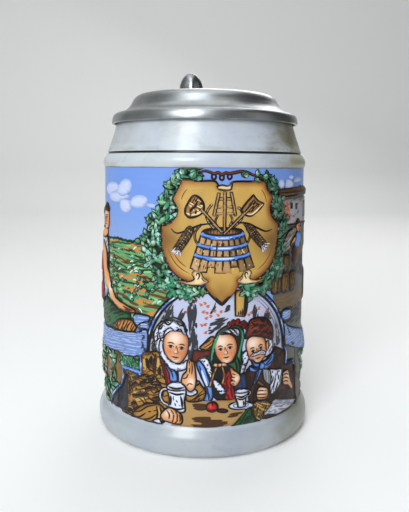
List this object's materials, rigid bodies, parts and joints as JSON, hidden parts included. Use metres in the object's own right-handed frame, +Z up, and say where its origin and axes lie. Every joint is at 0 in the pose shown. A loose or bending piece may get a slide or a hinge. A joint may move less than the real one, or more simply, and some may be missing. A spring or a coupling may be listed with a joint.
{
  "type": "lidded beer stein",
  "caption": "Half-litre stoneware drinking mug with a painted relief band, ear handle and hinged pewter lid with thumblift.",
  "frame": {"origin": "centre of the flat underside of the mug, on its turning axis, where it stands on the table", "axes": "+Z up the turning axis to the lid; -Y towards the picture side; +Y towards the handle; +X to the right of someone facing the picture"},
  "size_m": [0.1014, 0.137, 0.1709],
  "materials": {
    "stoneware_glaze": "satin grey-lavender glaze with an olive wash",
    "painted_relief": "painted and inked low relief under a satin glaze",
    "pewter": "satin turned pewter",
    "pin_steel": "plain drawn pin"
  },
  "bodies": {
    "mug": {"stoneware_body": "stoneware_glaze", "handle": "stoneware_glaze", "handle_strap": "pewter", "hinge_pin": "pin_steel", "pin_cap_left": "pewter", "pin_cap_right": "pewter"},
    "lid": {"lid": "pewter", "lid_shank": "pewter", "thumblift": "pewter"}
  },
  "joints": [
    {"name": "lid_hinge", "type": "hinge", "parent": "mug", "child": "lid", "pos_m": [0, 0.057, 0.1395], "axis": [-1, 0, 0], "range_deg": [0, 105]}
  ]
}
